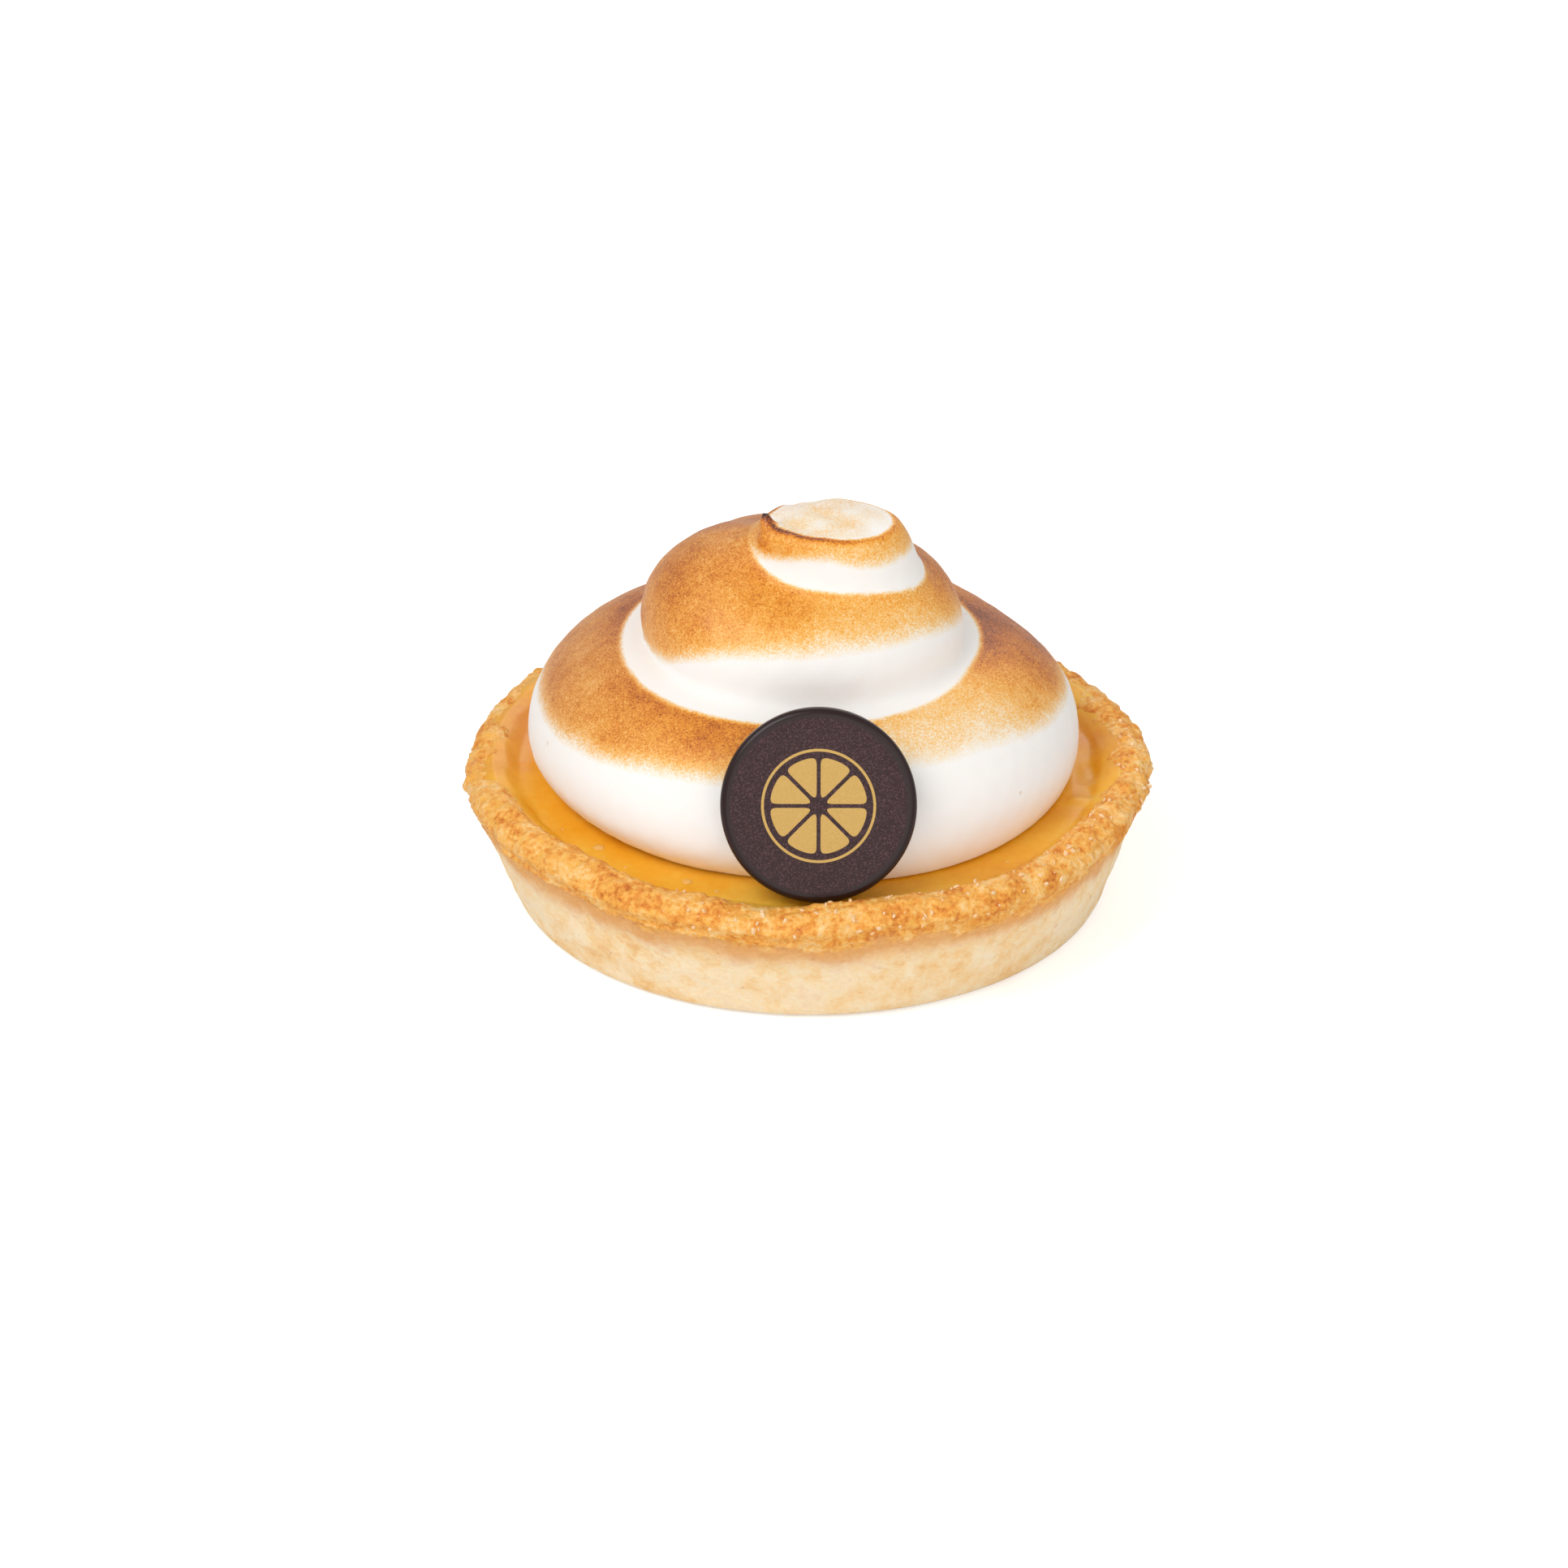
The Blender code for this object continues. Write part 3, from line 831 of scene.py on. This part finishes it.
def raise_bubbles(skin):
    places, sizes = [], []
    for compass, reach, size in BUBBLES:
        angle = math.radians(compass)
        radius = reach * MM
        level = float(curd_height(np.array(angle), radius))
        places.append((radius * math.cos(angle), radius * math.sin(angle), level))
        sizes.append(size * MM)
    mesh = bpy.data.meshes.new("bubble_places")
    mesh.from_pydata(places, [], [])
    mesh.attributes.new("size", "FLOAT", "POINT").data.foreach_set("value", sizes)
    holder = bpy.data.objects.new("bubble_places", mesh)
    bpy.context.scene.collection.objects.link(holder)
    attach_tree(holder, bubble_tree(), {"Skin": skin})
    return freeze(holder, "curd_bubbles")


# ---------------------------------------------------------------- piped meringue


def soft_union(first, second, filling):
    overlap = np.maximum(filling - np.abs(first - second), 0.0)
    return np.minimum(first, second) - overlap * overlap / (4.0 * filling)


def rope_section(turn):
    """The rope's sizes after that many turns, in metres, in the order of ROPE's columns."""
    sizes = list(ROPE[0][1:])
    for before, after in zip(ROPE, ROPE[1:]):
        share = ease(turn, before[0], after[0])
        for i in range(len(sizes)):
            sizes[i] = sizes[i] + (after[i + 1] - before[i + 1]) * share
    return [size * MM for size in sizes]


def outside_oval(across, up, wide, tall):
    unit = np.sqrt((across / wide) ** 2 + (up / tall) ** 2) + 1e-9
    steep = np.sqrt((across / wide**2) ** 2 + (up / tall**2) ** 2) + 1e-9
    return unit * (unit - 1.0) / steep


def outside_rope(turn, radius, height):
    centre, level, width, above, below, filling = rope_section(turn)
    started = np.clip(turn / ROPE_ENDS[0] + 1.0, 0.0, 1.0)
    ended = np.clip((ROPE[-1][0] - turn) / ROPE_ENDS[1], 0.0, 1.0)
    size = np.sqrt(np.maximum(1.0 - (1.0 - started * ended) ** 2, 1e-4))
    up = height - level
    tall = np.where(up > 0, above, below)
    return outside_oval(radius - centre, up, width * size, tall * size), filling


def outside_tail(x, y, z):
    found = None
    for first, second in zip(TAIL, TAIL[1:]):
        start = [value * MM for value in first[:3]]
        along = [value * MM - origin for value, origin in zip(second[:3], start)]
        steps = [x - start[0], y - start[1], z - start[2]]
        share = sum(step * way for step, way in zip(steps, along)) / sum(way * way for way in along)
        share = np.clip(share, 0.0, 1.0)
        gaps = sum((step - share * way) ** 2 for step, way in zip(steps, along))
        stretch = np.sqrt(gaps) - (first[3] + (second[3] - first[3]) * share) * MM
        found = stretch if found is None else soft_union(found, stretch, TAIL_CREASE / 2)
    return found


def turned_of(x, y):
    """The part of a turn from the rope's start, 0 to 1."""
    angle = np.arctan2(y - SWIRL_AXIS[1], x - SWIRL_AXIS[0])
    return ((angle - START_ANGLE) / (2 * math.pi)) % 1.0


def swirl_laps(x, y, z):
    """Distance outside each lap of the rope, with how far its crease is filled."""
    radius = np.hypot(x - SWIRL_AXIS[0], y - SWIRL_AXIS[1])
    turned = turned_of(x, y)
    return [outside_rope(turned + lap, radius, z) for lap in (-1, 0, 1, 2)]


def out_of_dome(x, y, z):
    """Distance from the cap's middle, with its depth stretched to its width."""
    middle = DOME[0] + DOME_SLIDE * (FLAT_TOP - z)
    return np.hypot(x - middle, (y - DOME[1]) / DOME_DEPTH)


def outside_dome(x, y, z):
    return outside_oval(out_of_dome(x, y, z), z - DOME[2], DOME_HALF_WIDTH, DOME_RISE)


def hand_wobble(x, y, z):
    """The slight unevenness of meringue piped by hand."""
    turn = np.arctan2(y - SWIRL_AXIS[1], x - SWIRL_AXIS[0])
    slow = np.sin(3 * turn + 1.3 + z / MM * 0.15) * 0.14
    quick = np.sin(7 * turn + z / MM * 0.35 + 0.4) * 0.07
    fine = np.sin(x / MM * 1.3 + 0.5) * np.sin(y / MM * 1.1) * np.sin(z / MM * 1.2) * 0.05
    away = np.hypot(x - SWIRL_AXIS[0], y - SWIRL_AXIS[1])
    return ((slow + quick) * ease(away, 0.0005, CORE_RADIUS) + fine) * MM


def outside_swirl(x, y, z):
    """Distance outside the piped meringue, negative inside it."""
    laps = swirl_laps(x, y, z)
    found = laps[0][0]
    for section, filling in laps[1:]:
        found = soft_union(found, section, filling)
    found = soft_union(found, outside_dome(x, y, z), DOME_CREASE)
    top = FLAT_TOP - TOP_BULGE * out_of_dome(x, y, z) ** 2
    found = -soft_union(-found, top - z, TOP_ROUNDING)
    found = soft_union(found, outside_tail(x, y, z), TAIL_CREASE)
    found = found + hand_wobble(x, y, z)
    core = np.hypot(x - SWIRL_AXIS[0], y - SWIRL_AXIS[1]) - CORE_RADIUS
    found = np.minimum(found, np.maximum(core, z - CORE_TOP))
    return np.maximum(found, CURD_LEVEL + GAP / 3 - z)


def net_over(field, low, high, step):
    """A closed net of quads over the surface where field(x, y, z) is 0."""
    counts = [int((b - a) / step) + 2 for a, b in zip(low, high)]
    axes = [a + step * np.arange(count) for a, count in zip(low, counts)]
    values = field(axes[0][:, None, None], axes[1][None, :, None], axes[2][None, None, :])
    inside = values < 0
    places, cells, quads = [], [], []
    shape = np.array(values.shape)
    unit = np.eye(3, dtype=int)
    for axis in range(3):
        nearer = [slice(None)] * 3
        nearer[axis] = slice(0, -1)
        further = [slice(None)] * 3
        further[axis] = slice(1, None)
        crossed = np.argwhere(inside[tuple(nearer)] != inside[tuple(further)])
        one = values[tuple(crossed.T)]
        other = values[tuple((crossed + unit[axis]).T)]
        spot = crossed + (one / (one - other))[:, None] * unit[axis]
        second, third = unit[(axis + 1) % 3], unit[(axis + 2) % 3]
        corners = [crossed, crossed - second, crossed - second - third, crossed - third]
        numbers = np.stack([np.ravel_multi_index(tuple(corner.T), shape) for corner in corners], 1)
        for column in range(4):
            cells.append(numbers[:, column])
            places.append(spot)
        leaving = one < 0
        quads.append(np.where(leaving[:, None], numbers, numbers[:, ::-1]))
    cells, places = np.concatenate(cells), np.concatenate(places)
    names, index = np.unique(cells, return_inverse=True)
    share = np.bincount(index)
    points = np.stack([np.bincount(index, places[:, k]) / share for k in range(3)], 1)
    points = np.array(low) + points * step
    quads = np.searchsorted(names, np.concatenate(quads))
    return points, quads


def settle_on(field, points, rounds=3):
    """Moves points onto the surface where field is 0 and returns them with their normals."""
    probe = 0.00004
    for _ in range(rounds):
        x, y, z = points.T
        value = field(x, y, z)
        slope = np.stack(
            [
                field(x + probe, y, z) - field(x - probe, y, z),
                field(x, y + probe, z) - field(x, y - probe, z),
                field(x, y, z + probe) - field(x, y, z - probe),
            ],
            1,
        ) / (2 * probe)
        steep = np.linalg.norm(slope, axis=1) + 1e-9
        move = np.clip(value / steep, -SWIRL_MESH / 2, SWIRL_MESH / 2)
        points = points - (move / steep)[:, None] * slope
    return points, slope / steep[:, None]


# Where the torch has caught the swirl. Compass angle; then in millimetres the height of the
# hem of the lower coil's toast and the radius of its upper edge, the height of the middle coil's
# lower and upper edge; then how brown the lower and the middle coil are
TORCHED = (
    (-180, 26.8, 23.4, 34.6, 51.5, 0.56, 0.54),
    (-160, 26.8, 24.2, 34.8, 51.0, 0.53, 0.54),
    (-146, 27.4, 24.8, 35.8, 50.6, 0.52, 0.54),
    (-134, 28.1, 24.9, 38.0, 50.3, 0.55, 0.53),
    (-117, 28.9, 24.9, 39.8, 49.6, 0.57, 0.49),
    (-92, 29.4, 24.5, 40.4, 48.9, 0.54, 0.44),
    (-67, 29.8, 24.1, 40.6, 48.3, 0.28, 0.42),
    (-45, 29.2, 23.7, 40.2, 48.1, 0.20, 0.40),
    (-22, 27.8, 22.8, 39.0, 48.2, 0.42, 0.48),
    (0, 26.8, 23.0, 37.0, 48.0, 0.68, 0.62),
    (15, 26.4, 23.3, 36.0, 47.6, 0.72, 0.64),
    (40, 26.4, 24.0, 35.6, 46.6, 0.66, 0.58),
    (90, 26.4, 23.6, 35.4, 46.0, 0.58, 0.54),
    (140, 26.6, 23.0, 34.8, 48.5, 0.56, 0.54),
)


def toast_of(points):
    """How browned the meringue is: below 0 where it is white, 1 where it is burnt."""
    x, y, z = points.T
    laps = [section for section, filling in swirl_laps(x, y, z)]
    lower = np.minimum(laps[0], laps[1])
    middle = np.minimum(laps[2], laps[3])
    cap = np.minimum(outside_dome(x, y, z), outside_tail(x, y, z))
    across, back = x - SWIRL_AXIS[0], y - SWIRL_AXIS[1]
    radius = np.hypot(across, back) / MM
    angle = np.arctan2(back, across)
    high = z / MM
    hem, crease, valley, brow, lower_heat, middle_heat = (
        round_table(angle, TORCHED, column) for column in range(1, 7)
    )
    # Lower coil, darker towards its upper edge
    coil = ease(high, hem - 2.4, hem + 2.2) * ease(radius, crease - 0.6, crease + 0.9)
    upper = 1 - ease(radius, crease + 0.5, crease + 6.0)
    lower_toast = coil * (lower_heat + 0.10 * upper) - 0.15 * (1 - coil)
    # Middle coil
    coil = ease(high, valley - 2.0, valley + 2.0) * (1 - ease(high, brow - 0.3, brow + 1.3))
    middle_heat = middle_heat + 0.07 * ease(high, valley, brow) - 0.14 * (1 - ease(high, valley, valley + 4))
    middle_toast = coil * middle_heat - 0.15 * (1 - coil)
    # Cap: a browned face, a thin dark line round the flat top, burnt at the tail
    out = out_of_dome(x, y, z) / MM
    face_angle = np.arctan2(y - DOME[1], x - DOME[0])
    dark = near_angle(face_angle, -160, 100)
    foot = 48.2 + 1.4 * near_angle(face_angle, -105, 60)
    face = ease(out, 7.6, 8.4) * ease(high, foot - 1.2, foot + 1.8)
    upper = 1 - ease(out, 8.4, 9.6)
    cap_toast = face * (0.38 + 0.16 * dark + 0.14 * upper) - 0.12 * (1 - face)
    line = np.exp(-(((out - 8.35) / 0.5) ** 2)) * ease(high, 50.0, 51.2)
    line = line * near_angle(face_angle, -125, 150)
    cap_toast = cap_toast + line * (0.26 + 0.10 * dark)
    flat = ease(high, 51.2, 51.9) * (1 - ease(out, 7.4, 8.0))
    cloud = 0.16 + 0.05 * np.sin(x / MM * 0.9) * np.sin(y / MM * 0.8 + 1.0) - 0.08 * ease(x / MM, 4.0, 10.0)
    cap_toast = cap_toast * (1 - flat) + cloud * flat
    tail = ease(-outside_tail(x, y, z) / MM, -0.35, 0.0)
    burnt = tail * (0.64 + 0.50 * ease(high, 52.4, 54.0))
    cap_toast = np.maximum(cap_toast, burnt)
    # The rope climbs from the lower coil to the middle one at the back
    climbed = ease(turned_of(x, y), 0.04, 0.26)
    climbed = np.where(laps[2] < laps[3], climbed, 1.0)
    middle_toast = lower_toast * (1 - climbed) + middle_toast * climbed
    toast = np.where(lower < middle, lower_toast, middle_toast)
    # and leaves a white line where it first crosses over its own start
    start = np.minimum(laps[0], np.where(turned_of(x, y) < 0.5, laps[1], 1.0))
    over = np.minimum(laps[2], np.where(turned_of(x, y) > 0.5, laps[1], 1.0))
    line = (1 - ease(np.abs(start - over) / MM, 0.1, 1.6)) * near_angle(angle, 42, 50)
    toast = toast - line * 0.7
    near_cap = ease(np.minimum(lower, middle) - cap, -0.0005, 0.0005)
    return toast * (1 - near_cap) + cap_toast * near_cap


def rust_of(points):
    """Where the toast is redder: at the left and the back."""
    x, y, z = points.T
    angle = np.arctan2(y - SWIRL_AXIS[1], x - SWIRL_AXIS[0])
    return np.clip(near_angle(angle, 150, 110) + 0.45 * near_angle(angle, 15, 60), 0.0, 1.0)


def pipe_meringue(finish):
    low = (-0.0385, -0.0365, CURD_LEVEL - 0.0005)
    high = (0.0375, 0.0395, 0.0552)
    points, quads = net_over(outside_swirl, low, high, SWIRL_MESH)
    resting = points[:, 2] < CURD_LEVEL + GAP / 3 + SWIRL_MESH * 0.6
    settled, normals = settle_on(outside_swirl, points)
    points = np.where(resting[:, None], points, settled)
    mesh = bpy.data.meshes.new("piped_meringue")
    mesh.from_pydata([tuple(point) for point in points], [], [tuple(quad) for quad in quads])
    mesh.shade_smooth()
    for name, values in (("toast", toast_of(points)), ("rust", rust_of(points))):
        mesh.attributes.new(name, "FLOAT", "POINT").data.foreach_set("value", values)
    return put_in_scene("piped_meringue", mesh, finish)


# ---------------------------------------------------------------- chocolate disc


def cast_disc(finish):
    """A round disc with softened edges and a slightly sunken face."""
    low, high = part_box("chocolate_disc")
    middle = (Vector(low) + Vector(high)) / 2
    radius = (high[0] - low[0]) / 2
    half = DISC_THICKNESS / 2
    back = [(0.004, -half), (0.008, -half), (radius - DISC_EDGE - 0.0004, -half)]
    border = radius - DISC_EDGE - DISC_BORDER
    face = [(border, half), (border - 0.0003, half - 0.00006)]
    face = face + [(border * step / 12, half - 0.00006) for step in range(11, 0, -1)]
    outline = back + rounded_side(radius, half) + face
    around = 160
    angle = 2 * math.pi * np.arange(around) / around
    rings = []
    for out, up in outline:
        rings.append(np.stack([out * np.cos(angle), out * np.sin(angle), np.full(around, up)], 1))
    mesh = lofted("chocolate_disc", rings, (0, 0, -half), (0, 0, half - 0.00006))
    place = np.empty(len(mesh.vertices) * 3)
    mesh.vertices.foreach_get("co", place)
    place = place.reshape(-1, 3)
    marks = np.stack([place[:, 0], place[:, 1], (place[:, 2] > half - 0.0002).astype(float)], 1)
    mesh.attributes.new("face", "FLOAT_VECTOR", "POINT").data.foreach_set("vector", marks.ravel())
    facing = Vector((0.0, -math.cos(DISC_LEAN), math.sin(DISC_LEAN)))
    uphill = Vector((0.0, math.sin(DISC_LEAN), math.cos(DISC_LEAN)))
    turn = Matrix((Vector((1, 0, 0)), uphill, facing)).transposed().to_4x4()
    mesh.transform(Matrix.Translation(middle) @ turn)
    return put_in_scene("satin_disc", mesh, finish)


def rounded_side(radius, half):
    side = []
    for i in range(17):
        bend = -math.pi / 2 + math.pi * i / 16
        drop = half - DISC_EDGE
        up = DISC_EDGE * math.sin(bend) + (drop if bend > 0 else -drop)
        side.append((radius - DISC_EDGE + DISC_EDGE * math.cos(bend), up))
    return side


# ---------------------------------------------------------------- sugar on the rim


def sugar_tree():
    """Scatters small crystals over the browned rim, within one stretch of it."""
    inputs = (
        ("Crystals per square metre", "Float", 330000.0),
        ("Smallest", "Float", 0.00012),
        ("Largest", "Float", 0.00060),
        ("Middle of the stretch", "Float", -0.9),
        ("Half the stretch", "Float", 1.1),
        ("Seed", "Int", 8),
        ("Sugar", "Material", None),
    )
    tree, bench, given, leaving = new_tree("scattered_sugar", inputs)
    where = tree.nodes.new("ShaderNodeSeparateXYZ")
    bench.plug(where.inputs[0], bench.lay("InputPosition").outputs[0])
    angle = bench.maths("ARCTAN2", where.outputs[1], where.outputs[0])
    away = bench.maths("ABSOLUTE", bench.maths("SUBTRACT", angle, given["Middle of the stretch"]))
    close = bench.maths("LESS_THAN", away, given["Half the stretch"])
    high = bench.maths("GREATER_THAN", where.outputs[2], 0.0150)
    radius = bench.length(where.outputs[0], where.outputs[1])
    outer = bench.maths("GREATER_THAN", radius, 0.0402)
    chosen = bench.maths("MULTIPLY", bench.maths("MULTIPLY", close, high), outer)
    scatter = bench.lay("DistributePointsOnFaces", distribute_method="RANDOM")
    bench.plug(scatter.inputs["Mesh"], given["Geometry"])
    bench.plug(scatter.inputs["Selection"], chosen)
    bench.plug(scatter.inputs["Density"], given["Crystals per square metre"])
    bench.plug(scatter.inputs["Seed"], given["Seed"])
    crystal = bench.lay("MeshIcoSphere", {"Radius": 1.0, "Subdivisions": 1})
    flat = bench.lay("Transform", {"Geometry": crystal.outputs[0]})
    flat.inputs["Scale"].default_value = (1.0, 0.7, 0.45)
    size = tree.nodes.new("FunctionNodeRandomValue")
    size.data_type = "FLOAT"
    bench.plug(size.inputs[2], given["Smallest"])
    bench.plug(size.inputs[3], given["Largest"])
    squeezed = bench.maths("MULTIPLY", size.outputs[1], size.outputs[1])
    squeezed = bench.maths("DIVIDE", squeezed, given["Largest"])
    squeezed = bench.maths("MAXIMUM", squeezed, given["Smallest"])
    turn = tree.nodes.new("FunctionNodeRandomValue")
    turn.data_type = "FLOAT_VECTOR"
    turn.inputs[1].default_value = (6.28, 6.28, 6.28)
    placed = bench.lay(
        "InstanceOnPoints",
        {
            "Points": scatter.outputs["Points"],
            "Instance": flat.outputs[0],
            "Rotation": turn.outputs[0],
            "Scale": squeezed,
        },
    )
    real = bench.lay("RealizeInstances", {"Geometry": placed.outputs[0]})
    dressed = bench.lay("SetMaterial", {"Geometry": real.outputs[0], "Material": given["Sugar"]})
    bench.plug(leaving[0], dressed.outputs[0])
    return tree


def scatter_sugar(case, sugar):
    holder = bpy.data.objects.new("sugar_holder", case.data.copy())
    bpy.context.scene.collection.objects.link(holder)
    attach_tree(holder, sugar_tree(), {"Sugar": sugar})
    return freeze(holder, "sugar_crystals")


# ---------------------------------------------------------------- stage


def lay_floor():
    material, bench, shader, place = new_finish("white_floor")
    shader.inputs["Base Color"].default_value = (0.86, 0.86, 0.86, 1)
    shader.inputs["Roughness"].default_value = 0.9
    shader.inputs["Specular IOR Level"].default_value = 0.0
    seen = bench.lay("LightPath").outputs["Is Camera Ray"]
    glow = bench.lay("Emission", {"Color": (1, 1, 1, 1), "Strength": 0.45})
    none = bench.lay("Emission", {"Color": (0, 0, 0, 1), "Strength": 0.0})
    choice = bench.lay("MixShader", {0: seen, 1: none.outputs[0], 2: glow.outputs[0]})
    both = bench.lay("AddShader", {0: shader.outputs[0], 1: choice.outputs[0]})
    out = material.node_tree.nodes["Material Output"]
    bench.plug(out.inputs["Surface"], both.outputs[0])
    mesh = bpy.data.meshes.new("floor")
    side = 1.5
    corners = [(-side, -side, 0), (side, -side, 0), (side, side, 0), (-side, side, 0)]
    mesh.from_pydata([(x, y, -0.0001) for x, y, z in corners], [], [(0, 1, 2, 3)])
    put_in_scene("floor", mesh, material)


def light_scene():
    world = bpy.data.worlds.new("studio")
    bpy.context.scene.world = world
    world.use_nodes = True
    bench = Bench(world.node_tree, "ShaderNode")
    path = bench.lay("LightPath").outputs["Is Camera Ray"]
    strength = bench.maths("MULTIPLY_ADD", path, 1.0 - 0.50, 0.50)
    background = world.node_tree.nodes["Background"]
    background.inputs["Color"].default_value = (1, 1, 1, 1)
    bench.plug(background.inputs["Strength"], strength)
    for name, place, size, power in (
        ("key_softbox", (-0.45, -0.35, 0.75), 0.5, 3.6),
        ("fill_softbox", (0.55, -0.45, 0.45), 0.6, 1.0),
        ("front_softbox", (0.05, -0.8, 0.20), 0.7, 1.7),
        ("back_softbox", (0.1, 0.6, 0.5), 0.5, 0.8),
    ):
        light = bpy.data.lights.new(name, "AREA")
        light.shape = "SQUARE"
        light.size = size
        light.energy = power
        lamp = bpy.data.objects.new(name, light)
        lamp.location = place
        aim = Vector((0, 0, 0.02)) - Vector(place)
        lamp.rotation_euler = aim.to_track_quat("-Z", "Y").to_euler()
        bpy.context.scene.collection.objects.link(lamp)


def set_camera():
    camera = bpy.data.cameras.new("camera")
    camera.lens = CAMERA_LENS
    camera.sensor_width = 36.0
    camera.clip_start = 0.01
    holder = bpy.data.objects.new("camera", camera)
    back = Vector((0, -math.cos(CAMERA_ELEVATION), math.sin(CAMERA_ELEVATION)))
    holder.location = Vector((0, 0, 0.025)) + back * CAMERA_DISTANCE
    up = Vector((0, math.sin(CAMERA_ELEVATION), math.cos(CAMERA_ELEVATION)))
    target = Vector((-0.00297, 0, 0.025)) - 0.0108 * up
    holder.rotation_euler = (target - holder.location).to_track_quat("-Z", "Y").to_euler()
    bpy.context.scene.collection.objects.link(holder)
    bpy.context.scene.camera = holder


def main():
    set_camera()
    lay_floor()
    light_scene()
    case = bake_case(baked_pastry())
    hand_in(case, "pastry_case")
    hand_in(scatter_sugar(case, clear_sugar()))
    curd = glossy_curd()
    hand_in(pour_curd(curd), "lemon_curd")
    hand_in(raise_bubbles(pale_bubble()))
    hand_in(pipe_meringue(torched_meringue()), "meringue")
    hand_in(cast_disc(satin_chocolate()), "chocolate_disc")
    settings = bpy.context.scene.view_settings
    settings.view_transform = "Standard"


main()
